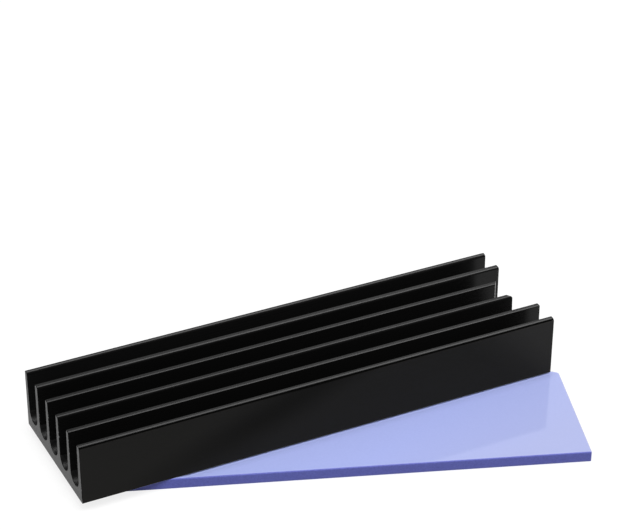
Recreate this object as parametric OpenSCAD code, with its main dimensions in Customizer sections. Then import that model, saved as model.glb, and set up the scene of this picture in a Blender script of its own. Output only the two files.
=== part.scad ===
// Extruded heat sink for a solid state drive card, lying askew on its thermal pad.
// Millimetres. X runs along the fins towards the screw notch, Y across them to the back, Z up.
// The origin is below the middle of the heat sink, on the surface that the pad lies on.

/* [Heat sink] */
// Length of the extrusion along its fins
sink_length = 70; // [50:0.5:100]
// Width of the extrusion across its fins
sink_width = 20; // [16:0.1:26]
// Height from the underside of the base to the fin tips
sink_height = 8.7; // [7:0.1:14]
// Thickness of the base under the lowest line of a groove
base_thickness = 1.5; // [0.8:0.1:2.5]

/* [Fins] */
// Number of fins, with the outer two flush with the sides of the base
fin_count = 6; // [5:1:8]
// Thickness of one fin
fin_thickness = 1; // [0.6:0.05:1.4]
// Radius of the two rounded edges along a fin tip
tip_radius = 0.2; // [0.05:0.05:0.25]

/* [Screw notch] */
// Diameter of the half-round notch that clears the retaining screw of the card
notch_diameter = 6.5; // [4:0.1:10]

/* [Thermal pad] */
// Length of the pad along its front edge
pad_length = 65; // [50:0.5:80]
// Width of the pad
pad_width = 20; // [16:0.5:30]
// Thickness of the pad, which lifts the heat sink
pad_thickness = 1.5; // [0.5:0.1:3]
// Angle by which the cut end of the pad leans out of square
pad_end_lean = 1.9; // [0:0.1:5]
// Snipped corner of the pad, measured along its back edge
snip_along_back = 1.6; // [0.2:0.1:4]
// Snipped corner of the pad, measured along its cut end
snip_along_end = 0.8; // [0.2:0.1:3]

/* [Lay of the pad] */
// Angle from the fins to the long edges of the pad
pad_turn = -19.7; // [-45:0.1:45]
// Distance of the middle of the pad from the middle of the heat sink, along the fins
pad_offset_x = 2.8; // [-10:0.05:10]
// Distance of the middle of the pad from the middle of the heat sink, across the fins
pad_offset_y = -8.55; // [-10:0.05:10]

/* [Hidden] */
$fn = 96;

// Spacing of the fins and the grooves left between them
fin_pitch = (sink_width - fin_thickness) / (fin_count - 1);
groove_width = fin_pitch - fin_thickness;
groove_radius = groove_width / 2;

// How far a cut runs past the face that it opens
overcut = 1;

// Middle of a fin, counted from 0 at the front
function fin_place(index) = (fin_thickness - sink_width) / 2 + index * fin_pitch;

// One groove between two fins: straight sides over a full-round bottom
module groove_section() {
    bottom_centre = base_thickness + groove_radius;
    translate([0, bottom_centre])
        circle(r = groove_radius);
    translate([-groove_radius, bottom_centre])
        square([groove_width, sink_height - bottom_centre + overcut]);
}

// What rounds one edge of a fin tip: the corner of a square outside the rounding circle
module tip_edge_section() {
    difference() {
        translate([-tip_radius, -tip_radius])
            square(2 * tip_radius);
        translate([-tip_radius, -tip_radius])
            circle(r = tip_radius);
    }
}

// Section of the extrusion, with its width along x and its height along y
module sink_section() {
    difference() {
        translate([-sink_width / 2, 0])
            square([sink_width, sink_height]);
        for (index = [0 : fin_count - 2])
            translate([fin_place(index) + fin_pitch / 2, 0])
                groove_section();
        for (index = [0 : fin_count - 1], side = [0, 1])
            translate([fin_place(index), sink_height])
                mirror([side, 0])
                    translate([fin_thickness / 2, 0])
                        tip_edge_section();
    }
}

// The extrusion, standing on the pad, with the notch drilled through fins and base
module heat_sink() {
    color("#1d1d1f")
        translate([0, 0, pad_thickness])
            difference() {
                rotate([90, 0, 90])
                    linear_extrude(height = sink_length, center = true)
                        sink_section();
                translate([sink_length / 2, 0, -overcut])
                    cylinder(d = notch_diameter, h = sink_height + 2 * overcut);
            }
}

// Outline of the pad: square at its hidden end, cut a little askew and snipped at the other
module pad_outline() {
    half_length = pad_length / 2;
    half_width = pad_width / 2;
    lean = tan(pad_end_lean);
    polygon([
        [-half_length, -half_width],
        [half_length, -half_width],
        [half_length - (pad_width - snip_along_end) * lean, half_width - snip_along_end],
        [half_length - pad_width * lean - snip_along_back, half_width],
        [-half_length, half_width]
    ]);
}

// The pad, flat on the surface below
module thermal_pad() {
    color("#b2b9ec")
        translate([pad_offset_x, pad_offset_y, 0])
            rotate([0, 0, pad_turn])
                linear_extrude(height = pad_thickness)
                    pad_outline();
}

heat_sink();
thermal_pad();
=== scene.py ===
"""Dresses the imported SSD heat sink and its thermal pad, and sets them in a plain white studio.

Lengths are metres and angles are degrees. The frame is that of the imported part: X runs along the
fins towards the screw notch, Y across them to the back, and Z up from the surface below the pad.
"""

import logging
import math
import random
from collections.abc import Callable, Iterable
from dataclasses import dataclass
from enum import Enum, IntEnum

import bmesh
import bpy
from mathutils import Matrix, Vector


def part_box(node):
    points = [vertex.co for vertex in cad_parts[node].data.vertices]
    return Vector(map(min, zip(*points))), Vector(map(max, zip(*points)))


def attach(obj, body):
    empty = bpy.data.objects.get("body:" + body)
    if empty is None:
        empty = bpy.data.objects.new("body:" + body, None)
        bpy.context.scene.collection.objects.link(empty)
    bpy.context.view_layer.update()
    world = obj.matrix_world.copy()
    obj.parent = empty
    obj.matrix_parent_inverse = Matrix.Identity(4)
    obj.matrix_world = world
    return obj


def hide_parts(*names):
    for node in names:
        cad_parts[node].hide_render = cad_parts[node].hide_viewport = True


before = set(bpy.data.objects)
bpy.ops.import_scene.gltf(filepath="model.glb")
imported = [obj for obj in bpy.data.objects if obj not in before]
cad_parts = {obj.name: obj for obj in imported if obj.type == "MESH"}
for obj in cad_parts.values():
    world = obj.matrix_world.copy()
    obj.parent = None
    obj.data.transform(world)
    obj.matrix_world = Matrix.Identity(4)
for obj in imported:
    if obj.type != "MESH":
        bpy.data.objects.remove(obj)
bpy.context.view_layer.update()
BODY = "root"
MM = 0.001
MICRON = 0.000001

# Places nearer than the first length count as one, and corners nearer than the second are merged.
CLOSE = 0.002 * MM
WELD = CLOSE / 4

# A face whose normal has more than this share of an axis faces along it.
FACING = 0.5

# Edges that turn more than this stay sharp, and large faces weigh this much in the shading.
SHARP_ANGLE = 35
NORMAL_WEIGHT = 80

EDGE_LAYER = "edge_wear"
# Per face, how much painted light lightens a fin's tip.
TIP_LIGHT_LAYER = "tip_painted_light"
FLOAT = "NodeSocketFloat"
VECTOR = "NodeSocketVector"

Colour = tuple[float, float, float, float]
Socket = bpy.types.NodeSocket
log = logging.getLogger("ssd_heat_sink")


def mm(*lengths: float) -> tuple[float, ...]:
    """Lengths given in millimetres, as metres."""
    return tuple(length * MM for length in lengths)


def grey(level: float) -> Colour:
    """A neutral colour of that linear level."""
    return (level, level, level, 1.0)


class Tree:
    """Short ways to add and join the nodes of one shader tree."""

    # A Mix node repeats the names of its sockets for each type, so those for colours go by number.
    MIX_FIRST, MIX_SECOND, MIX_RESULT = 6, 7, 2

    def __init__(self, nodes: bpy.types.NodeTree) -> None:
        """Keeps the Blender node tree that the other methods add to."""
        self.nodes = nodes

    def feed(self, socket: Socket, value: object) -> None:
        """Links an output to a socket, or sets the socket to a plain value.

        Args:
            socket: the input to feed.
            value: another node's output, or a number, colour or vector.
        """
        if isinstance(value, Socket):
            self.nodes.links.new(value, socket)
        else:
            socket.default_value = value

    def add(self, kind: str, inputs: dict | None = None, **settings: object) -> bpy.types.Node:
        """Adds one node.

        Args:
            kind: Blender's name for the type of node.
            inputs: what feeds each input, by the input's name or number.
            settings: the node's own options.

        Returns:
            The new node.
        """
        node = self.nodes.nodes.new(kind)
        for name, value in settings.items():
            setattr(node, name, value)
        for name, value in (inputs or {}).items():
            self.feed(node.inputs[name], value)
        return node

    def math(self, operation: str, first: object, second: object = 0.0) -> Socket:
        """The output of one operation, by Blender's name for it, on two numbers or outputs."""
        return self.add("ShaderNodeMath", {0: first, 1: second}, operation=operation).outputs[0]

    def weighted(
        self, first: Socket, first_weight: object, second: Socket, second_weight: object
    ) -> Socket:
        """The output of the sum of two numbers, each times its weight."""
        scaled = self.math("MULTIPLY", first, first_weight)
        return self.math("ADD", scaled, self.math("MULTIPLY", second, second_weight))

    def slanted(self, x: Socket, z: Socket, slant: float) -> Socket:
        """The place along the fins where a line of that slant through x and z meets the height 0."""
        return self.math("SUBTRACT", x, self.math("MULTIPLY", z, slant))

    def split(self, vector: Socket) -> tuple[Socket, ...]:
        """The outputs of a vector's three parts."""
        return tuple(self.add("ShaderNodeSeparateXYZ", {0: vector}).outputs)

    def join(self, x: object, y: object, z: object) -> Socket:
        """The output of a vector with these three parts."""
        return self.add("ShaderNodeCombineXYZ", {"X": x, "Y": y, "Z": z}).outputs[0]

    def span(
        self, value: Socket, low: float, high: float, new_low: object, new_high: object,
        curve: str = "LINEAR",
    ) -> Socket:
        """Maps one range of a value onto another, and clamps it there.

        Args:
            value: the output to map.
            low: start of the old range.
            high: end of the old range.
            new_low: what the old start becomes.
            new_high: what the old end becomes.
            curve: Blender's name for the way from one end to the other.

        Returns:
            The mapped value's output.
        """
        node = self.add("ShaderNodeMapRange", {
            "Value": value, "From Min": low, "From Max": high, "To Min": new_low, "To Max": new_high,
        }, interpolation_type=curve)
        return node.outputs["Result"]

    def blend(self, share: object, first: object, second: object) -> Socket:
        """Mixes two colours.

        Args:
            share: how much of the second colour shows, from 0 to 1.
            first: the colour or output at 0.
            second: the colour or output at 1.

        Returns:
            The mixed colour's output.
        """
        node = self.add("ShaderNodeMix", {"Factor": share}, data_type="RGBA")
        self.feed(node.inputs[self.MIX_FIRST], first)
        self.feed(node.inputs[self.MIX_SECOND], second)
        return node.outputs[self.MIX_RESULT]

    def ramp(self, value: Socket, stops: list[tuple[float, Colour]]) -> Socket:
        """Reads a colour from a row of colours.

        Args:
            value: where to read, from 0 to 1.
            stops: the place and the colour of each stop, in order.

        Returns:
            The colour's output.
        """
        node = self.add("ShaderNodeValToRGB", {"Fac": value})
        elements = node.color_ramp.elements
        for _ in stops[2:]:
            elements.new(1.0)
        for element, (place, colour) in zip(elements, stops):
            element.position = place
            element.color = colour
        return node.outputs["Color"]

    def bump(self, height: Socket) -> Socket:
        """The output of a normal that follows a height in metres."""
        return self.add("ShaderNodeBump", {"Height": height, "Distance": 1.0}).outputs["Normal"]

    def group(self, made: bpy.types.NodeTree, inputs: dict) -> bpy.types.Node:
        """Places a shared node group.

        Args:
            made: the group to place.
            inputs: what feeds each of its inputs, by name.

        Returns:
            The group's node.
        """
        node = self.nodes.nodes.new("ShaderNodeGroup")
        node.node_tree = made
        for name, value in inputs.items():
            self.feed(node.inputs[name], value)
        return node


def new_group(name: str, inputs: dict[str, str], outputs: dict[str, str]) -> tuple[Tree, dict, dict]:
    """Starts a shader node group.

    Args:
        name: the group's name.
        inputs: the kind of socket for each input, by name.
        outputs: the kind of socket for each output, by name.

    Returns:
        The group's tree, its inputs as outputs to read from, and its outputs as sockets to feed.
    """
    made = bpy.data.node_groups.new(name, "ShaderNodeTree")
    for socket, kind in inputs.items():
        made.interface.new_socket(name=socket, in_out="INPUT", socket_type=kind)
    for socket, kind in outputs.items():
        made.interface.new_socket(name=socket, in_out="OUTPUT", socket_type=kind)
    tree = Tree(made)
    entry = tree.add("NodeGroupInput")
    leave = tree.add("NodeGroupOutput")
    return tree, {s: entry.outputs[s] for s in inputs}, {s: leave.inputs[s] for s in outputs}


def new_material(name: str) -> tuple[bpy.types.Material, Tree]:
    """Starts a material.

    Args:
        name: the material's name.

    Returns:
        The material, and its tree with no nodes in it.
    """
    made = bpy.data.materials.new(name)
    made.use_nodes = True
    made.node_tree.nodes.clear()
    return made, Tree(made.node_tree)


@dataclass(frozen=True)
class Effects:
    """The shader node groups that several finishes share, each built once.

    Attributes:
        tool_lines: fine parallel lines, as a die, saw or knife leaves them.
        grain: even grain of one size, as etching or a release film leaves it.
        edge_wear: spots along the broken edges where the film has chipped to bare metal.
    """

    tool_lines: bpy.types.NodeTree
    grain: bpy.types.NodeTree
    edge_wear: bpy.types.NodeTree

    # The range of the noise that becomes 0 to 1 in each group.
    LINE_SPAN = (0.3, 0.7)
    GRAIN_SPAN = (0.25, 0.75)
    CHIP_SPAN = (0.0, 0.08)

    @classmethod
    def build(cls) -> "Effects":
        """Builds every shared group."""
        return cls(cls._tool_lines(), cls._grain(), cls._edge_wear())

    @staticmethod
    def _noise(tree: Tree, vector: Socket, scale: object, detail: float) -> Socket:
        """The output of noise of a scale and detail."""
        inputs = {"Vector": vector, "Scale": scale, "Detail": detail}
        return tree.add("ShaderNodeTexNoise", inputs).outputs["Fac"]

    @classmethod
    def _tool_lines(cls) -> bpy.types.NodeTree:
        """Builds the lines, which run along the first axis of the vector.

        Returns:
            The group.
        """
        tree, given, made = new_group(
            "tool_lines", {"Vector": VECTOR, "Spacing": FLOAT, "Length": FLOAT}, {"Height": FLOAT}
        )
        across = tree.math("DIVIDE", 1.0, given["Spacing"])
        along = tree.math("DIVIDE", 1.0, given["Length"])
        factors = {0: given["Vector"], 1: tree.join(along, across, across)}
        stretched = tree.add("ShaderNodeVectorMath", factors, operation="MULTIPLY").outputs[0]
        noise = cls._noise(tree, stretched, scale=1.0, detail=3.0)
        tree.feed(made["Height"], tree.span(noise, *cls.LINE_SPAN, 0.0, 1.0))
        return tree.nodes

    @classmethod
    def _grain(cls) -> bpy.types.NodeTree:
        """Builds the grain.

        Returns:
            The group.
        """
        tree, given, made = new_group("grain", {"Vector": VECTOR, "Size": FLOAT}, {"Height": FLOAT})
        scale = tree.math("DIVIDE", 1.0, given["Size"])
        noise = cls._noise(tree, given["Vector"], scale, detail=2.0)
        tree.feed(made["Height"], tree.span(noise, *cls.GRAIN_SPAN, 0.0, 1.0))
        return tree.nodes

    @classmethod
    def _edge_wear(cls) -> bpy.types.NodeTree:
        """Builds the spots, which show only where the edge's value is above 0.

        Returns:
            The group.
        """
        tree, given, made = new_group(
            "edge_wear",
            {"Vector": VECTOR, "Edge": FLOAT, "Size": FLOAT, "Cover": FLOAT},
            {"Mask": FLOAT},
        )
        scale = tree.math("DIVIDE", 1.0, given["Size"])
        noise = cls._noise(tree, given["Vector"], scale, detail=3.0)
        level = tree.math("SUBTRACT", noise, tree.math("SUBTRACT", 1.0, given["Cover"]))
        spots = tree.span(level, *cls.CHIP_SPAN, 0.0, 1.0)
        tree.feed(made["Mask"], tree.math("MULTIPLY", spots, given["Edge"]))
        return tree.nodes


class Lines(Enum):
    """The way in which the lines of a tool run over a surface."""

    ALONG_FINS = "along the fins"
    SAW_ARC = "in arcs of a saw blade"
    ROUND_BORE = "in rings round a bore"
    ALONG_EDGE = "level along a cut edge"


@dataclass(frozen=True)
class ToolMarks:
    """The lines that a tool left on a surface, over an even grain.

    Attributes:
        lines: how the lines run.
        spacing: space from one line to the next.
        length: how far a line runs before it fades.
        depth: height of the lines.
        grain_size: size of the grain.
        grain_depth: height of the grain.
        blade_centre: the saw's axis, as a place across the fins and a height.
    """

    lines: Lines
    spacing: float = 0.12 * MM
    length: float = 30 * MM
    depth: float = 0.15 * MICRON
    grain_size: float = 0.03 * MM
    grain_depth: float = 0.6 * MICRON
    blade_centre: tuple[float, ...] = mm(30, 120)

    def vector(self, tree: Tree, place: Socket) -> Socket:
        """Turns the Object coordinate so that the lines run along its first axis.

        Args:
            tree: the material's tree.
            place: the Object coordinate.

        Returns:
            The turned coordinate's output.
        """
        if self.lines is Lines.ALONG_FINS:
            return place
        x, y, z = tree.split(place)
        if self.lines is Lines.SAW_ARC:
            side = tree.math("SUBTRACT", y, self.blade_centre[0])
            rise = tree.math("SUBTRACT", z, self.blade_centre[1])
            radius = tree.math("SQRT", tree.weighted(side, side, rise, rise))
            return tree.join(y, radius, x)
        if self.lines is Lines.ROUND_BORE:
            return tree.join(y, z, 0.0)
        return tree.join(x, z, 0.0)

    def build(self, tree: Tree, effects: Effects, place: Socket) -> tuple[Socket, Socket]:
        """Adds the lines and the grain to a material.

        Args:
            tree: the material's tree.
            effects: the shared node groups.
            place: the Object coordinate.

        Returns:
            The level of the lines from 0 to 1, and the height of lines and grain together.
        """
        lines = tree.group(effects.tool_lines, {
            "Vector": self.vector(tree, place), "Spacing": self.spacing, "Length": self.length,
        }).outputs["Height"]
        grain = tree.group(effects.grain, {"Vector": place, "Size": self.grain_size}).outputs["Height"]
        return lines, tree.weighted(lines, self.depth, grain, self.grain_depth)


@dataclass(frozen=True)
class PaintedReflectionBand:
    """A painted dark band that crosses a surface on a slant: the reflection of the shaded floor in
    front of the pad, painted into the film's colour.

    Attributes:
        centre: where its middle line meets the height 0, along the fins.
        reach: how far it fades to each side of its middle line.
        slant: how far it runs along the fins for each unit of height.
        depth: share of the film's level that it takes away at its middle.
        foot: height up to which it is faint.
        full: height from which it has its full strength.
        foot_share: share of its strength that it has at its foot.
    """

    centre: float
    reach: float
    slant: float
    depth: float
    foot: float
    full: float
    foot_share: float

    def share(self, tree: Tree, x: Socket, z: Socket) -> Socket:
        """Makes the share of the film's level that the painted band leaves.

        Args:
            tree: the material's tree.
            x: the place along the fins.
            z: the height.

        Returns:
            A value from what the band leaves at its middle to 1 outside it.
        """
        away = tree.math("ABSOLUTE", tree.math("SUBTRACT", tree.slanted(x, z, self.slant), self.centre))
        dark = tree.span(away, 0.0, self.reach, self.depth, 0.0, "SMOOTHSTEP")
        strength = tree.span(z, self.foot, self.full, self.foot_share, 1.0)
        return tree.math("SUBTRACT", 1.0, tree.math("MULTIPLY", dark, strength))


@dataclass(frozen=True)
class DyeAndShade:
    """The film's colour along the fins: one level, which is the film's own, or levels that change along
    the fins and paint in light, shade and reflections.

    Attributes:
        stops: places along the fins, each with the film's linear level there; a change between them is
            painted light and shade.
        slant: how far the levels shift along the fins for each unit of height.
        warmth: share by which blue falls below the level, which paints out blue light bounced onto the
            film.
        painted_band: a painted dark reflection band, where there is one.
    """

    stops: tuple[tuple[float, float], ...]
    slant: float = 0.0
    warmth: float = 0.0
    painted_band: PaintedReflectionBand | None = None

    # How far red rises above the level for each unit by which blue falls below it.
    RED_RISE = 0.4

    @classmethod
    def even(cls, level: float) -> "DyeAndShade":
        """A film of one level all over."""
        return cls(((0.0, level),))

    def shade(self, level: float) -> Colour:
        """The colour at a level, with its warmth."""
        return ((1.0 + self.RED_RISE * self.warmth) * level, level, (1.0 - self.warmth) * level, 1.0)

    def colour(self, tree: Tree, place: Socket) -> Colour | Socket:
        """Makes the film's colour, with its painted light and shade where it has them.

        Args:
            tree: the material's tree.
            place: the Object coordinate.

        Returns:
            The one colour of an even dye, or the output of an uneven one.
        """
        if len(self.stops) == 1:
            return self.shade(self.stops[0][1])
        low, high = self.stops[0][0], self.stops[-1][0]
        x, _, z = tree.split(place)
        stops = [((at - low) / (high - low), self.shade(level)) for at, level in self.stops]
        level = tree.ramp(tree.span(tree.slanted(x, z, self.slant), low, high, 0.0, 1.0), stops)
        if self.painted_band is None:
            return level
        return tree.blend(self.painted_band.share(tree, x, z), grey(0.0), level)


@dataclass(frozen=True)
class AnodisedFinish:
    """A dyed anodic film on aluminium, with the lines of the tool that made the surface.

    Attributes:
        name: the material's name.
        marks: the tool's lines and the grain.
        dye_and_shade: how dark the film is, with painted light, shade and reflections on some surfaces.
        roughness: the film's roughness.
        specular: the film's specular level.
        roughness_swing: how far the roughness goes up and down with the lines.
        line_shade: how much darker the film is between the lines.
        painted_light_colour: the lighter colour that painted light gives a tip, where it has some.
        worn: the bare metal's colour.
        wear_size: size of the chips along broken edges.
        wear_cover: how much of a broken edge has chipped.
    """

    name: str
    marks: ToolMarks
    dye_and_shade: DyeAndShade
    roughness: float
    specular: float
    roughness_swing: float = 0.01
    line_shade: float = 0.06
    painted_light_colour: Colour | None = None
    worn: Colour = (0.30, 0.30, 0.31, 1.0)
    wear_size: float = 0.28 * MM
    wear_cover: float = 0.40

    def film_colour(self, tree: Tree, place: Socket, lines: Socket) -> Socket:
        """Makes the film's colour: its level with any painted shade, darker between the tool lines, and
        lighter where light is painted on a tip.

        Args:
            tree: the material's tree.
            place: the Object coordinate.
            lines: the level of the tool lines.

        Returns:
            The colour's output.
        """
        hollows = tree.math("MULTIPLY", tree.math("SUBTRACT", 1.0, lines), self.line_shade)
        film = tree.blend(hollows, self.dye_and_shade.colour(tree, place), grey(0.0))
        if self.painted_light_colour is not None:
            tip_light = tree.add("ShaderNodeAttribute", attribute_name=TIP_LIGHT_LAYER).outputs["Fac"]
            film = tree.blend(tip_light, film, self.painted_light_colour)
        return film

    def material(self, effects: Effects) -> bpy.types.Material:
        """Builds the material.

        Args:
            effects: the shared node groups.

        Returns:
            The new material.
        """
        made, tree = new_material(self.name)
        place = tree.add("ShaderNodeTexCoord").outputs["Object"]
        edge = tree.add("ShaderNodeAttribute", attribute_name=EDGE_LAYER).outputs["Fac"]
        lines, height = self.marks.build(tree, effects, place)
        wear = tree.group(effects.edge_wear, {
            "Vector": place, "Edge": edge, "Size": self.wear_size, "Cover": self.wear_cover,
        }).outputs["Mask"]
        low, high = self.roughness - self.roughness_swing, self.roughness + self.roughness_swing
        shader = tree.add("ShaderNodeBsdfPrincipled", {
            "Base Color": tree.blend(wear, self.film_colour(tree, place, lines), self.worn),
            "Metallic": wear,
            "Roughness": tree.span(lines, 0.0, 1.0, low, high),
            "Specular IOR Level": self.specular,
            "Normal": tree.bump(height),
        })
        tree.add("ShaderNodeOutputMaterial", {"Surface": shader.outputs[0]})
        return made


@dataclass(frozen=True)
class PaintedLightDrift:
    """A slow change of colour across a sheet, which paints in how the light on it changes.

    Attributes:
        tint: the colour that it changes to.
        heading: the way in which it changes, as an angle from the fins' direction.
        start: where the change starts, measured that way from the origin.
        end: where the change is complete.
        share: how much of the tint shows there.
    """

    tint: Colour
    heading: float
    start: float
    end: float
    share: float

    def over(self, tree: Tree, x: Socket, y: Socket, body: Socket) -> Socket:
        """Lays the change over a colour.

        Args:
            tree: the material's tree.
            x: the place along the fins.
            y: the place across the fins.
            body: the colour before the change.

        Returns:
            The colour with the change in it.
        """
        turn = math.radians(self.heading)
        along = tree.weighted(x, math.cos(turn), y, math.sin(turn))
        return tree.blend(tree.span(along, self.start, self.end, 0.0, self.share), body, self.tint)


@dataclass(frozen=True)
class SiliconeFinish:
    """Filled silicone, either the smooth rolled face of the pad or its knife-cut side.

    Attributes:
        name: the material's name.
        marks: the tool's lines and the grain.
        colour: the darker colour of the mottle.
        colour_light: its lighter colour.
        roughness: the surface's roughness.
        roughness_swing: how far the roughness goes up and down with the mottle.
        mottle_size: size of the mottle.
        slope: rise of the surface along X and along Y, which leans what it mirrors.
        painted_light_drift: a painted change of colour with the light, where there is one.
        ior: the silicone's index of refraction.
    """

    name: str
    marks: ToolMarks
    colour: Colour
    colour_light: Colour
    roughness: float
    roughness_swing: float
    mottle_size: float
    slope: tuple[float, float] = (0.0, 0.0)
    painted_light_drift: PaintedLightDrift | None = None
    ior: float = 1.40

    def material(self, effects: Effects) -> bpy.types.Material:
        """Builds the material.

        Args:
            effects: the shared node groups.

        Returns:
            The new material.
        """
        made, tree = new_material(self.name)
        place = tree.add("ShaderNodeTexCoord").outputs["Object"]
        x, y, _ = tree.split(place)
        _, height = self.marks.build(tree, effects, place)
        tilt = tree.weighted(x, self.slope[0], y, self.slope[1])
        spots = {"Vector": place, "Size": self.mottle_size}
        mottle = tree.group(effects.grain, spots).outputs["Height"]
        body = tree.blend(mottle, self.colour, self.colour_light)
        if self.painted_light_drift is not None:
            body = self.painted_light_drift.over(tree, x, y, body)
        low, high = self.roughness - self.roughness_swing, self.roughness + self.roughness_swing
        shader = tree.add("ShaderNodeBsdfPrincipled", {
            "Base Color": body,
            "Roughness": tree.span(mottle, 0.0, 1.0, low, high),
            "IOR": self.ior,
            "Normal": tree.bump(tree.math("ADD", height, tilt)),
        })
        tree.add("ShaderNodeOutputMaterial", {"Surface": shader.outputs[0]})
        return made


def new_piece(name: str, bm: bmesh.types.BMesh) -> bpy.types.Object:
    """Turns a finished bmesh into an object of the scene.

    Args:
        name: the object's name.
        bm: the mesh, which is freed.

    Returns:
        The new object.
    """
    mesh = bpy.data.meshes.new(name)
    bm.to_mesh(mesh)
    bm.free()
    piece = bpy.data.objects.new(name, mesh)
    bpy.context.scene.collection.objects.link(piece)
    return piece


def smooth(piece: bpy.types.Object) -> None:
    """Shades roundings smooth and large faces flat, and keeps sharp edges sharp.

    Args:
        piece: the object, whose mesh is finished.
    """
    piece.data.shade_smooth()
    piece.data.set_sharp_from_angle(angle=math.radians(SHARP_ANGLE))
    normals = piece.modifiers.new("flat_faces", "WEIGHTED_NORMAL")
    normals.mode = "FACE_AREA"
    normals.weight = NORMAL_WEIGHT
    normals.keep_sharp = True


def bevel(
    bm: bmesh.types.BMesh, edges: Iterable, offset: float, segments: int, clamp: bool = True
) -> list[bmesh.types.BMFace]:
    """Rounds edges with an even profile.

    Args:
        bm: the mesh.
        edges: the edges to round.
        offset: how far the rounding reaches from each edge.
        segments: how many faces make the rounding.
        clamp: whether roundings that would overlap are held apart.

    Returns:
        The faces of the rounding.
    """
    made = bmesh.ops.bevel(
        bm, geom=list(edges), offset=offset, offset_type="OFFSET", segments=segments, profile=0.5,
        affect="EDGES", clamp_overlap=clamp, material=-1,
    )
    return made["faces"]


def extrude(bm: bmesh.types.BMesh, faces: list[bmesh.types.BMFace], step: Vector, keep: bool) -> None:
    """Extrudes a region of faces and moves the new end.

    Args:
        bm: the mesh.
        faces: the faces to extrude.
        step: how far the new end moves.
        keep: whether the old faces stay, as the other end of a new solid.
    """
    made = bmesh.ops.extrude_face_region(bm, geom=faces)
    if not keep:
        bmesh.ops.delete(bm, geom=faces, context="FACES")
    moved = [part for part in made["geom"] if isinstance(part, bmesh.types.BMVert)]
    bmesh.ops.translate(bm, verts=moved, vec=step)


def weld(bm: bmesh.types.BMesh) -> None:
    """Merges corners that lie together, in the order of their places, which is the same each run."""
    bmesh.ops.remove_doubles(bm, verts=sorted(bm.verts, key=lambda vert: vert.co[:]), dist=WELD)


def edges_where(
    bm: bmesh.types.BMesh, test: Callable[[Vector, Vector], bool]
) -> list[bmesh.types.BMEdge]:
    """Finds the mesh's edges for whose two ends the test is true."""
    return [edge for edge in bm.edges if test(edge.verts[0].co, edge.verts[1].co)]


class SinkSurface(IntEnum):
    """The surfaces of the extrusion, by the number of their material slot."""

    EXTRUDED = 0
    GROOVE = 1
    BACK_WALL = 2
    GROOVE_FLOOR = 3
    TIP = 4
    EDGE = 5
    SAWN = 6
    DRILLED = 7


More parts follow.
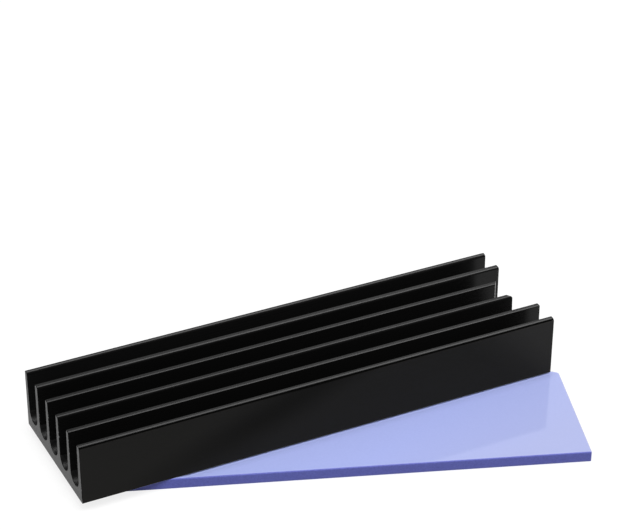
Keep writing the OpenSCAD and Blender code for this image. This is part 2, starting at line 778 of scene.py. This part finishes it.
@dataclass
class HeatSink:
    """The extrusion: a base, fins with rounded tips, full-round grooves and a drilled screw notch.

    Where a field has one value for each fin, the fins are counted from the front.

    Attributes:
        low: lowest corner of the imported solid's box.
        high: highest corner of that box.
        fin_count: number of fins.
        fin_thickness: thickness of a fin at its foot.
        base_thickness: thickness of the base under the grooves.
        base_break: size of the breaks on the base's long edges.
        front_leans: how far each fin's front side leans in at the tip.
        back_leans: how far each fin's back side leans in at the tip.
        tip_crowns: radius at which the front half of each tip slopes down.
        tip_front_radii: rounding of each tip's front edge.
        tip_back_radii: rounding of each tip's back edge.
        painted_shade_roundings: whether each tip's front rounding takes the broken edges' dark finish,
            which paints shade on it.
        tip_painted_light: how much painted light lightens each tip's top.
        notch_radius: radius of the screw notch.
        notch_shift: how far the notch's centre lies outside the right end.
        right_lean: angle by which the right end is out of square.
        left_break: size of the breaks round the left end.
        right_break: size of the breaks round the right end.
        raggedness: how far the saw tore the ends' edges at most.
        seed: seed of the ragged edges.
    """

    low: Vector
    high: Vector
    fin_count: int = 6
    fin_thickness: float = 1.0 * MM
    base_thickness: float = 1.5 * MM
    base_break: float = 0.05 * MM
    front_leans: tuple[float, ...] = mm(0.08, 0.13, 0.09, 0.10, 0.08, 0.19)
    back_leans: tuple[float, ...] = mm(0.10, 0.16, 0.14, 0.15, 0.07, 0.0)
    tip_crowns: tuple[float, ...] = mm(1.8, 2.5, 2.3, 2.5, 2.0, 2.0)
    tip_front_radii: tuple[float, ...] = mm(0.40, 0.08, 0.24, 0.14, 0.24, 0.34)
    tip_back_radii: tuple[float, ...] = mm(0.06, 0.06, 0.06, 0.06, 0.06, 0.22)
    painted_shade_roundings: tuple[bool, ...] = (True, True, False, True, False, False)
    tip_painted_light: tuple[float, ...] = (0.1, 0.0, 0.0, 0.0, 0.15, 0.25)
    notch_radius: float = 3.25 * MM
    notch_shift: float = 0.12 * MM
    right_lean: float = 0.7
    left_break: float = 0.06 * MM
    right_break: float = 0.03 * MM
    raggedness: float = 0.03 * MM
    seed: int = 4

    GROOVE_SEGMENTS = 12
    BASE_SEGMENTS = 1
    TIP_SEGMENTS = 6
    CROWN_CUTS = 5
    END_SEGMENTS = 2
    NOTCH_SEGMENTS = 96
    RAGGED_STEP = 0.18 * MM
    RAGGED_POWER = 3
    FLAT_ANGLE = 0.5

    # Upward share of a normal from which a face is a groove's floor, a tip's rounding or a tip.
    FLOOR_SLOPE = 0.1
    EDGE_SLOPE = 0.4
    TIP_SLOPE = 0.82

    # Share of the fins' direction in a normal from which a face is a sawn end.
    END_FACING = 0.9

    @property
    def pitch(self) -> float:
        """Spacing from one fin to the next."""
        return (self.high.y - self.low.y - self.fin_thickness) / (self.fin_count - 1)

    @property
    def groove_floor(self) -> float:
        """Height of the lowest line of a groove."""
        return self.low.z + self.base_thickness

    @property
    def half_height(self) -> float:
        """Height halfway between the underside and the fin tips."""
        return (self.low.z + self.high.z) / 2

    def border(self, row: int) -> float:
        """Place across the fins of one side of a fin, with the sides counted from the front."""
        return self.low.y + (row // 2) * self.pitch + (row % 2) * self.fin_thickness

    def tip_side(self, row: int) -> float:
        """Place across the fins of one side of a fin at its tip, towards which the side leans in."""
        fin, is_back = divmod(row, 2)
        return self.border(row) + (-self.back_leans[fin] if is_back else self.front_leans[fin])

    def runs_at(self, first: Vector, second: Vector, height: float) -> bool:
        """Says whether an edge with these two ends runs along the fins at a height."""
        level = max(abs(first.z - height), abs(second.z - height)) < CLOSE
        return level and abs(first.x - second.x) > self.fin_thickness

    def blank(self) -> bmesh.types.BMesh:
        """Makes the square-cornered extrusion from one strip for each fin and groove.

        Returns:
            The mesh, with the sides of the fins already leaning.
        """
        bm = bmesh.new()
        strips, half_grid = 2 * self.fin_count - 1, 0.5
        bmesh.ops.create_grid(bm, x_segments=1, y_segments=strips, size=half_grid)
        for vert in bm.verts:
            end = self.low.x if vert.co.x < 0 else self.high.x
            row = round((vert.co.y + half_grid) * strips)
            vert.co = (end, self.border(row), self.groove_floor)
        extrude(bm, bm.faces[:], Vector((0, 0, -self.base_thickness)), keep=True)
        bmesh.ops.recalc_face_normals(bm, faces=bm.faces[:])
        tops = [face for face in bm.faces if face.normal.z > FACING]
        tops.sort(key=lambda face: face.calc_center_median().y)
        extrude(bm, tops[::2], Vector((0, 0, self.high.z - self.groove_floor)), keep=False)
        flat = math.radians(self.FLAT_ANGLE)
        bmesh.ops.dissolve_limit(bm, angle_limit=flat, verts=bm.verts[:], edges=bm.edges[:])
        sides = range(2 * self.fin_count)
        for vert in bm.verts:
            if vert.co.z > self.half_height:
                nearest = min(sides, key=lambda side: abs(vert.co.y - self.border(side)))
                vert.co.y = self.tip_side(nearest)
        return bm

    def round_section(self, bm: bmesh.types.BMesh) -> None:
        """Rounds the groove bottoms and breaks the base's long edges.

        Args:
            bm: the mesh.
        """
        corners = edges_where(bm, lambda a, b: self.runs_at(a, b, self.groove_floor))
        bevel(bm, corners, (self.pitch - self.fin_thickness) / 2, self.GROOVE_SEGMENTS, clamp=False)
        weld(bm)
        under = edges_where(bm, lambda a, b: self.runs_at(a, b, self.low.z))
        bevel(bm, under, self.base_break, self.BASE_SEGMENTS)

    def round_tip(self, bm: bmesh.types.BMesh, fin: int) -> None:
        """Rounds the two long edges of one fin's tip, and slopes the tip's front half down.

        Args:
            bm: the mesh.
            fin: the fin's number, counted from the front.
        """
        front, back = self.tip_side(2 * fin), self.tip_side(2 * fin + 1)
        for side, radius in ((front, self.tip_front_radii[fin]), (back, self.tip_back_radii[fin])):
            long_edge = edges_where(
                bm, lambda a, b: self.runs_at(a, b, self.high.z) and abs(a.y - side) < CLOSE
            )
            bevel(bm, long_edge, radius, self.TIP_SEGMENTS)
        flat_ends = edges_where(
            bm, lambda a, b: min(a.z, b.z) > self.high.z - CLOSE and front < min(a.y, b.y)
            and max(a.y, b.y) < back and abs(a.x - b.x) < CLOSE
        )
        bmesh.ops.subdivide_edges(bm, edges=flat_ends, cuts=self.CROWN_CUTS)
        margin = self.fin_thickness / 4
        for vert in bm.verts:
            if vert.co.z > self.half_height and front - margin < vert.co.y < back + margin:
                forward = max(0.0, (front + back) / 2 - vert.co.y)
                vert.co.z -= forward ** 2 / (2 * self.tip_crowns[fin])

    def surface_of(self, face: bmesh.types.BMFace, fin: int) -> SinkSurface:
        """Tells which surface a face of the rounded section belongs to.

        Args:
            face: the face.
            fin: the number of the fin that it is on or behind, counted from the front.

        Returns:
            The surface.
        """
        middle, normal = face.calc_center_median(), face.normal
        inside = self.fin_thickness / 2
        at_tip = middle.z > self.half_height
        in_groove = middle.z > self.low.z and self.low.y + inside < middle.y < self.high.y - inside
        is_wall = normal.z < self.FLOOR_SLOPE
        if at_tip and normal.z > self.TIP_SLOPE:
            return SinkSurface.TIP
        # Back roundings of tips, and the chosen front ones, take the dark edge finish, which paints
        # shade on them.
        if at_tip and normal.z > self.EDGE_SLOPE and (self.painted_shade_roundings[fin] or normal.y > 0):
            return SinkSurface.EDGE
        if in_groove and is_wall and fin == self.fin_count - 1:
            return SinkSurface.BACK_WALL
        if in_groove:
            return SinkSurface.GROOVE if at_tip or is_wall else SinkSurface.GROOVE_FLOOR
        if at_tip and fin > 0 and normal.y < 0:
            return SinkSurface.GROOVE
        return SinkSurface.EXTRUDED

    def mark_section(self, bm: bmesh.types.BMesh) -> None:
        """Marks each face with its surface, and the tips with how much painted light lightens them.

        Args:
            bm: the mesh.
        """
        bm.normal_update()
        tip_light = bm.faces.layers.float.new(TIP_LIGHT_LAYER)
        for face in bm.faces:
            behind = face.calc_center_median().y - self.low.y
            fin = min(int(behind / self.pitch), self.fin_count - 1)
            face.material_index = self.surface_of(face, fin)
            if face.material_index == SinkSurface.TIP:
                face[tip_light] = self.tip_painted_light[fin]

    def break_end(self, bm: bmesh.types.BMesh, end: float, inward: float, size: float) -> None:
        """Breaks the edges of one sawn end, and leaves them a little ragged.

        Args:
            bm: the mesh.
            end: the end's place along the fins.
            inward: 1 if the part lies towards +X from that end, -1 if it lies towards -X.
            size: how far the break reaches from each edge.
        """
        wear = bm.faces.layers.float[EDGE_LAYER]
        cap = next(face for face in bm.faces if inward * face.normal.x < -self.END_FACING)
        cap.material_index = SinkSurface.SAWN
        for edge in cap.edges[:]:
            cuts = int(edge.calc_length() / self.RAGGED_STEP)
            if cuts > 1:
                bmesh.ops.bisect_edges(bm, edges=[edge], cuts=cuts)
        # The breaks take the dark edge finish, which paints shade on them; their chips are real wear.
        for face in bevel(bm, cap.edges[:], size, self.END_SEGMENTS):
            face.material_index = SinkSurface.EDGE
            face[wear] = 1.0
        # Blender doesn't fix the order of the corners, so the draws go by place.
        chance = random.Random(self.seed)
        rim = [vert for vert in bm.verts if abs(abs(vert.co.x - end) - size) < CLOSE]
        places = [(round(vert.co.y / CLOSE), round(vert.co.z / CLOSE)) for vert in rim]
        torn = {place: chance.random() ** self.RAGGED_POWER for place in sorted(set(places))}
        for vert, place in zip(rim, places):
            vert.co.x += inward * self.raggedness * torn[place]

    def lean_right_end(self, bm: bmesh.types.BMesh) -> None:
        """Leans the right end outwards at the tips, as the saw cut it a little out of square.

        Args:
            bm: the mesh.
        """
        slope = math.tan(math.radians(self.right_lean))
        for vert in bm.verts:
            if vert.co.x > 0:
                vert.co.x += slope * (vert.co.z - self.half_height)

    def drill(self, piece: bpy.types.Object) -> None:
        """Drills the half-round notch through fins and base.

        Args:
            piece: the extrusion, whose mesh is replaced.
        """
        reach = 2 * (self.high.z - self.low.z)
        place = Matrix.Translation((self.high.x + self.notch_shift, 0, self.half_height))
        bm = bmesh.new()
        bmesh.ops.create_cone(
            bm, cap_ends=True, segments=self.NOTCH_SEGMENTS, radius1=self.notch_radius,
            radius2=self.notch_radius, depth=reach, matrix=place,
        )
        for face in bm.faces:
            face.material_index = SinkSurface.DRILLED
        drill = new_piece("notch_drill", bm)
        cut = piece.modifiers.new("notch", "BOOLEAN")
        cut.operation = "DIFFERENCE"
        cut.solver = "EXACT"
        cut.material_mode = "INDEX"
        cut.object = drill
        shown = piece.evaluated_get(bpy.context.evaluated_depsgraph_get())
        solid, cut_mesh = piece.data, bpy.data.meshes.new_from_object(shown)
        piece.modifiers.clear()
        piece.data = cut_mesh
        bpy.data.meshes.remove(solid)
        bpy.data.objects.remove(drill)

    def build(self) -> bpy.types.Object:
        """Makes the whole extrusion.

        Returns:
            The object, in place, with a material number on each face.
        """
        bm = self.blank()
        self.round_section(bm)
        for fin in range(self.fin_count):
            self.round_tip(bm, fin)
        self.mark_section(bm)
        bm.faces.layers.float.new(EDGE_LAYER)
        self.break_end(bm, self.low.x, 1.0, self.left_break)
        self.break_end(bm, self.high.x, -1.0, self.right_break)
        weld(bm)
        self.lean_right_end(bm)
        piece = new_piece("finned_extrusion", bm)
        for _ in SinkSurface:
            piece.data.materials.append(None)
        self.drill(piece)
        smooth(piece)
        return piece

    @staticmethod
    def finishes() -> dict[SinkSurface, AnodisedFinish]:
        """Gives the finish of each surface.

        Returns:
            The finishes, by surface.
        """
        die_lines = ToolMarks(Lines.ALONG_FINS)
        tip_lines = ToolMarks(Lines.ALONG_FINS, spacing=0.10 * MM, depth=0.5 * MICRON)
        saw_lines = ToolMarks(Lines.SAW_ARC, spacing=0.10 * MM, length=20 * MM, depth=2.0 * MICRON)
        drill_lines = ToolMarks(Lines.ROUND_BORE, spacing=0.08 * MM, length=20 * MM, depth=2.0 * MICRON)
        # Painted reflections on every extruded surface: the levels along the fins copy what the front
        # face mirrors. They are lighter towards the ends, where it mirrors the bright floor, with a
        # painted dark band where it mirrors the shaded floor in front of the pad, and a warmth that
        # paints out the blue light that the pad bounces onto it.
        painted_front_reflection = DyeAndShade(
            (
                (-33 * MM, 0.0168), (-10 * MM, 0.0142), (31 * MM, 0.0126),
                (35 * MM, 0.0158), (40 * MM, 0.0275), (43 * MM, 0.0305),
            ),
            slant=-1.0,
            warmth=0.06,
            painted_band=PaintedReflectionBand(
                centre=-26 * MM, reach=12.75 * MM, slant=2.45, depth=0.78,
                foot=1.5 * MM, full=6.5 * MM, foot_share=0.42,
            ),
        )
        # Painted light: the groove surfaces grow lighter towards the right end. The last groove's walls
        # grow a little darker towards it.
        groove = DyeAndShade(((-35 * MM, 0.0052), (35 * MM, 0.0070)))
        back_wall = DyeAndShade(((-35 * MM, 0.0090), (0.0, 0.0086), (35 * MM, 0.0074)))
        return {
            SinkSurface.EXTRUDED: AnodisedFinish(
                "extruded_black_painted_reflection", die_lines, painted_front_reflection, roughness=0.24, specular=0.06,
            ),
            SinkSurface.GROOVE: AnodisedFinish(
                "groove_black", die_lines, groove, roughness=0.28, specular=0.18,
            ),
            SinkSurface.BACK_WALL: AnodisedFinish(
                "back_wall_black", die_lines, back_wall, roughness=0.28, specular=0.18,
            ),
            SinkSurface.GROOVE_FLOOR: AnodisedFinish(
                "groove_floor_black", die_lines, groove, roughness=0.48, specular=0.62,
            ),
            # Painted light: some tips are lightened to a paler colour, copying how much brighter the
            # front and back fins' tops are lit.
            SinkSurface.TIP: AnodisedFinish(
                "tip_black_painted_light", tip_lines, DyeAndShade.even(0.0030), roughness=0.18, specular=0.24,
                roughness_swing=0.04, line_shade=0.2, painted_light_colour=grey(0.038),
            ),
            # Painted shade: the broken edges and tip roundings are darker and less glossy than the film
            # beside them; the bare-metal chips are real wear.
            SinkSurface.EDGE: AnodisedFinish(
                "edge_black_painted_shade", die_lines, DyeAndShade.even(0.0025), roughness=0.24, specular=0.03,
            ),
            SinkSurface.SAWN: AnodisedFinish(
                "sawn_black", saw_lines, DyeAndShade.even(0.018), roughness=0.36, specular=0.185,
                roughness_swing=0.04, line_shade=0.4,
            ),
            SinkSurface.DRILLED: AnodisedFinish(
                "drilled_black", drill_lines, DyeAndShade.even(0.058), roughness=0.30, specular=0.40,
                roughness_swing=0.04, line_shade=0.3,
            ),
        }

    def dress(self, piece: bpy.types.Object, effects: Effects) -> None:
        """Gives each surface its finish and joins the piece to the frame.

        Args:
            piece: the extrusion.
            effects: the shared node groups.
        """
        for surface, finish in self.finishes().items():
            piece.data.materials[surface] = finish.material(effects)
        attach(piece, BODY)
        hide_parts("heat_sink")


class PadSurface(IntEnum):
    """The surfaces of the pad, by the number of their material slot."""

    FACE = 0
    CUT = 1


@dataclass
class ThermalPad:
    """The silicone slab under the extrusion, cut a little out of square and snipped at one corner.

    Attributes:
        low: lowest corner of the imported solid's box.
        high: highest corner of that box.
        press_line: place across the fins of the edge that presses into the pad.
        middle: the middle of the pad's underside.
        length: length along the front.
        width: width from front to back.
        turn: angle by which the pad lies askew of the fins.
        end_lean: angle by which the right end is out of square.
        snip_along_back: how far the snipped corner reaches along the back.
        snip_along_end: how far it reaches along the right end.
        corner_radius: rounding of the upright edges.
        rim_radius: rounding of the upper rim.
        lower_rim_radius: rounding of the lower rim.
        press_start: where the crease starts, along the fins.
        press_end: where the crease ends.
        press_profile: distances from the crease's line, each with the depth there.
    """

    low: Vector
    high: Vector
    press_line: float
    middle: tuple[float, ...] = mm(2.8, -8.55, 0)
    length: float = 65.0 * MM
    width: float = 20.0 * MM
    turn: float = -19.7
    end_lean: float = 1.9
    snip_along_back: float = 1.6 * MM
    snip_along_end: float = 0.8 * MM
    corner_radius: float = 0.25 * MM
    rim_radius: float = 0.16 * MM
    lower_rim_radius: float = 0.05 * MM
    press_start: float = -20.5 * MM
    press_end: float = 34.5 * MM
    press_profile: tuple[tuple[float, ...], ...] = (mm(0, 0.25), mm(0.5, 0.04), mm(1.6, 0))

    CORNER_SEGMENTS = 4
    RIM_SEGMENTS = 3

    # Forward share of a normal from which a face of the rims takes the cut side's darker colour, which
    # paints shade along the front rim.
    CUT_FACING = 0.2

    def corners(self) -> list[Vector]:
        """Lays out the pad's outline.

        Returns:
            The corners, round from the front left, with the pad's middle at the origin.
        """
        half, side = self.length / 2, self.width / 2
        lean = math.tan(math.radians(self.end_lean))
        return [
            Vector((-half, -side, 0)),
            Vector((half, -side, 0)),
            Vector((half - (self.width - self.snip_along_end) * lean, side - self.snip_along_end, 0)),
            Vector((half - self.width * lean - self.snip_along_back, side, 0)),
            Vector((-half, side, 0)),
        ]

    def press(self, bm: bmesh.types.BMesh) -> None:
        """Presses a shallow crease into the top, where the extrusion's front edge sits.

        Args:
            bm: the slab's mesh, already in place.
        """
        top_level = self.high.z - CLOSE
        depths = {side * away: depth for away, depth in self.press_profile for side in (-1, 1)}
        rows = [(Vector((0, self.press_line + away, 0)), Vector((0, 1, 0))) for away in depths]
        ends = [(Vector((end, 0, 0)), Vector((1, 0, 0))) for end in (self.press_start, self.press_end)]
        for place, way in rows + ends:
            top = [face for face in bm.faces if face.calc_center_median().z > top_level]
            edges = {edge for face in top for edge in face.edges}
            verts = {vert for face in top for vert in face.verts}
            bmesh.ops.bisect_plane(
                bm, geom=[*top, *edges, *verts], dist=WELD, plane_co=place, plane_no=way
            )
        for vert in bm.verts:
            inside = self.press_start - CLOSE < vert.co.x < self.press_end + CLOSE
            if inside and vert.co.z > top_level:
                away = vert.co.y - self.press_line
                vert.co.z -= next((depths[row] for row in depths if abs(away - row) < CLOSE), 0.0)

    def build(self) -> bpy.types.Object:
        """Makes the slab with soft corners and rims.

        Returns:
            The object, in place, with a material number on each face.
        """
        bm = bmesh.new()
        outline = bm.faces.new([bm.verts.new(corner) for corner in self.corners()])
        extrude(bm, [outline], Vector((0, 0, self.high.z - self.low.z)), keep=True)
        bmesh.ops.recalc_face_normals(bm, faces=bm.faces[:])
        upright = edges_where(bm, lambda a, b: abs(a.z - b.z) > self.rim_radius)
        bevel(bm, upright, self.corner_radius, self.CORNER_SEGMENTS)
        for face in bm.faces:
            is_face = abs(face.normal.z) > FACING
            face.material_index = PadSurface.FACE if is_face else PadSurface.CUT
        for side, radius in ((1, self.rim_radius), (-1, self.lower_rim_radius)):
            flat = next(face for face in bm.faces if side * face.normal.z > FACING)
            for face in bevel(bm, flat.edges[:], radius, self.RIM_SEGMENTS):
                is_cut = face.normal.y < -self.CUT_FACING
                face.material_index = PadSurface.CUT if is_cut else PadSurface.FACE
        place = Matrix.Translation(self.middle) @ Matrix.Rotation(math.radians(self.turn), 4, "Z")
        bmesh.ops.transform(bm, matrix=place, verts=bm.verts[:])
        self.press(bm)
        piece = new_piece("silicone_pad", bm)
        smooth(piece)
        return piece

    @staticmethod
    def finishes() -> dict[PadSurface, SiliconeFinish]:
        """Gives the finish of each surface.

        Returns:
            The finishes, by surface and in the order of their slots.
        """
        film_grain = ToolMarks(
            Lines.ALONG_EDGE, spacing=0.1 * MM, length=6.0 * MM, depth=0.0,
            grain_size=0.05 * MM, grain_depth=0.3 * MICRON,
        )
        knife_lines = ToolMarks(
            Lines.ALONG_EDGE, spacing=0.1 * MM, length=6.0 * MM, depth=4.0 * MICRON,
            grain_size=0.05 * MM, grain_depth=0.8 * MICRON,
        )
        # Painted light: the pad's top turns less blue towards the front right, standing in for the
        # brighter light there.
        painted_falloff = PaintedLightDrift(
            tint=(0.472, 0.512, 0.805, 1.0), heading=-70, start=17.5 * MM, end=31.7 * MM, share=0.6,
        )
        return {
            PadSurface.FACE: SiliconeFinish(
                "rolled_silicone", film_grain,
                colour=(0.464, 0.532, 0.975, 1.0), colour_light=(0.486, 0.554, 0.997, 1.0),
                roughness=0.06, roughness_swing=0.012, mottle_size=0.35 * MM,
                slope=(-0.026, -0.021), painted_light_drift=painted_falloff,
            ),
            # The cut side is darker than the face partly as knife-cut silicone and partly as painted
            # shade, since the side gets less light than the top.
            PadSurface.CUT: SiliconeFinish(
                "cut_silicone_painted_shade", knife_lines,
                colour=(0.142, 0.161, 0.574, 1.0), colour_light=(0.195, 0.217, 0.697, 1.0),
                roughness=0.5, roughness_swing=0.1, mottle_size=0.25 * MM,
            ),
        }

    def dress(self, piece: bpy.types.Object, effects: Effects) -> None:
        """Gives the slab its two finishes and joins it to the frame.

        Args:
            piece: the slab.
            effects: the shared node groups.
        """
        for finish in self.finishes().values():
            piece.data.materials.append(finish.material(effects))
        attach(piece, BODY)
        piece.visible_glossy = False
        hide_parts("thermal_pad")


def new_lamp(name: str, kind: str) -> bpy.types.Object:
    """Adds a lamp to the scene.

    Args:
        name: the lamp's name.
        kind: Blender's name for the type of lamp.

    Returns:
        The lamp's object.
    """
    lamp = bpy.data.objects.new(name, bpy.data.lights.new(name, kind))
    bpy.context.scene.collection.objects.link(lamp)
    return lamp


@dataclass(frozen=True)
class SkyLamp:
    """A broad, even lamp far away, which gives the light on the part and no highlights.

    Attributes:
        name: the lamp's name.
        direction: the way from the part to the lamp.
        level: the level to which it lights a white surface that faces it.
        softness: the angle that it covers in the sky.
    """

    name: str
    direction: tuple[float, float, float]
    level: float
    softness: float

    def build(self) -> None:
        """Adds the lamp."""
        lamp = new_lamp(self.name, "SUN")
        lamp.data.energy = self.level * math.pi
        lamp.data.angle = math.radians(self.softness)
        lamp.location = self.direction
        lamp.rotation_euler = Vector(self.direction).to_track_quat("Z", "Y").to_euler()
        lamp.visible_glossy = False


@dataclass(frozen=True)
class SoftBox:
    """A panel that hangs square to the fins, shows in reflections and adds no other light.

    Attributes:
        name: the panel's name.
        place: its middle.
        lean: angle by which its face turns from straight down towards the front.
        width: its size along the fins.
        depth: its size across the fins.
        brightness: how bright its face shows, where 1 is white.
    """

    name: str
    place: tuple[float, float, float]
    lean: float
    width: float
    depth: float
    brightness: float

    def build(self) -> None:
        """Adds the panel, with the power that gives its face its brightness."""
        lamp = new_lamp(self.name, "AREA")
        lamp.data.shape = "RECTANGLE"
        lamp.data.size = self.width
        lamp.data.size_y = self.depth
        lamp.data.energy = self.brightness * math.pi * self.width * self.depth
        lamp.location = self.place
        lamp.rotation_euler = (math.radians(-self.lean), 0, 0)
        lamp.visible_diffuse = False


@dataclass(frozen=True)
class Studio:
    """The white floor, the light and the camera.

    Attributes:
        ambient: level of the sky's light on the part.
        dark_side: how bright the sky mirrors on the camera's side and low down.
        dim_side: how bright it mirrors on the left.
        near_span: the sky's places from front to back between which it brightens.
        side_span: its places from left to right between which it brightens.
        rise_span: its heights between which it brightens.
        floor_radius: radius of the floor.
        floor_colour: level of the floor's paint, which takes the shadow.
        floor_lift: level that is added where the floor is seen.
        azimuth: the camera's angle round the part.
        elevation: its angle above the floor.
        distance: how far it stands from the point that it is aimed at.
        aim: that point.
        focal_pixels: its focal length in pixels of the photograph.
        image_width: width of the photograph in pixels.
        sensor_width: width of its sensor in millimetres.
        clip: the nearest and the furthest distance that it sees.
        lamps: the lamps.
    """

    ambient: float = 0.27
    dark_side: float = 0.12
    dim_side: float = 0.4
    near_span: tuple[float, float] = (-0.2, 0.2)
    side_span: tuple[float, float] = (0.20, 0.47)
    rise_span: tuple[float, float] = (0.1, 0.45)
    floor_radius: float = 3.0
    floor_colour: float = 0.22
    floor_lift: float = 0.82
    azimuth: float = -25.95
    elevation: float = 31.11
    distance: float = 0.3562
    aim: tuple[float, float, float] = (0.018269, 0.033015, 0.0)
    focal_pixels: float = 2351.5
    image_width: int = 617
    sensor_width: float = 36.0
    clip: tuple[float, float] = (0.01, 10.0)
    lamps: tuple[SkyLamp | SoftBox, ...] = (
        SkyLamp("key_lamp", direction=(0.08, -0.33, 0.94), level=0.77, softness=40),
        SkyLamp("rear_fill", direction=(-0.15, 0.85, 0.24), level=0.5, softness=10),
        SoftBox(
            "overhead_panel", place=(0.226, 0.181, 0.525), lean=19,
            width=0.6, depth=0.54, brightness=3.3,
        ),
    )

    FLOOR_SEGMENTS = 64

    @staticmethod
    def reflected(tree: Tree) -> Socket:
        """Makes 1 for what shows in reflections and through glass, and 0 for the light on the part."""
        path = tree.add("ShaderNodeLightPath").outputs
        return tree.math("MAXIMUM", path["Is Glossy Ray"], path["Is Transmission Ray"])

    @staticmethod
    def seen(tree: Tree) -> Socket:
        """Makes 1 for what the camera sees directly."""
        return tree.add("ShaderNodeLightPath").outputs["Is Camera Ray"]

    def build_world(self) -> None:
        """Lights the part evenly from a white sky, which reflects darker on the camera's side."""
        world = bpy.data.worlds.new("white_sky")
        bpy.context.scene.world = world
        world.use_nodes = True
        world.node_tree.nodes.clear()
        tree = Tree(world.node_tree)
        aside, back, up = tree.split(tree.add("ShaderNodeTexCoord").outputs["Generated"])
        near_to_far = tree.span(back, *self.near_span, self.dark_side, 1.0)
        left_to_right = tree.span(aside, *self.side_span, self.dim_side, 1.0)
        low_to_high = tree.span(up, *self.rise_span, self.dark_side, 1.0)
        mirrored = tree.math("MULTIPLY", tree.math("MULTIPLY", near_to_far, left_to_right), low_to_high)
        lit = tree.span(self.reflected(tree), 0.0, 1.0, self.ambient, mirrored)
        strength = tree.span(self.seen(tree), 0.0, 1.0, lit, 1.0)
        sky = tree.add("ShaderNodeBackground", {"Color": grey(1.0), "Strength": strength})
        tree.add("ShaderNodeOutputWorld", {"Surface": sky.outputs[0]})

    def build_floor(self) -> None:
        """Lays the floor, which shows white and keeps the part's shadow."""
        bm = bmesh.new()
        bmesh.ops.create_circle(
            bm, cap_ends=True, segments=self.FLOOR_SEGMENTS, radius=self.floor_radius
        )
        floor = new_piece("floor", bm)
        paint, tree = new_material("white_floor")
        matt = tree.add("ShaderNodeBsdfDiffuse", {"Color": grey(self.floor_colour)})
        shown = tree.math("MAXIMUM", self.seen(tree), self.reflected(tree))
        lift = tree.math("MULTIPLY", shown, self.floor_lift)
        glow = tree.add("ShaderNodeEmission", {"Color": grey(1.0), "Strength": lift})
        both = tree.add("ShaderNodeAddShader", {0: matt.outputs[0], 1: glow.outputs[0]})
        tree.add("ShaderNodeOutputMaterial", {"Surface": both.outputs[0]})
        floor.data.materials.append(paint)

    def build_camera(self) -> None:
        """Sets the camera where the photograph was taken from."""
        data = bpy.data.cameras.new("camera")
        data.sensor_width = self.sensor_width
        data.lens = self.focal_pixels * self.sensor_width / self.image_width
        data.clip_start, data.clip_end = self.clip
        turn, rise = math.radians(self.azimuth), math.radians(self.elevation)
        level = math.cos(rise)
        back = Vector((math.sin(turn) * level, -math.cos(turn) * level, math.sin(rise)))
        camera = bpy.data.objects.new("camera", data)
        camera.location = Vector(self.aim) + back * self.distance
        camera.rotation_euler = back.to_track_quat("Z", "Y").to_euler()
        bpy.context.scene.collection.objects.link(camera)
        bpy.context.scene.camera = camera

    def build(self) -> None:
        """Builds the whole studio."""
        bpy.context.scene.view_settings.view_transform = "Standard"
        self.build_world()
        self.build_floor()
        self.build_camera()
        for lamp in self.lamps:
            lamp.build()


def main() -> None:
    """Builds the part and the studio in order."""
    logging.basicConfig(level=logging.INFO)
    effects = Effects.build()
    sink = HeatSink(*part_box("heat_sink"))
    extrusion = sink.build()
    sink.dress(extrusion, effects)
    log.info("%s: %d faces", extrusion.name, len(extrusion.data.polygons))
    pad = ThermalPad(*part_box("thermal_pad"), press_line=sink.low.y)
    slab = pad.build()
    pad.dress(slab, effects)
    log.info("%s: %d faces", slab.name, len(slab.data.polygons))
    Studio().build()


if __name__ == "__main__":
    main()
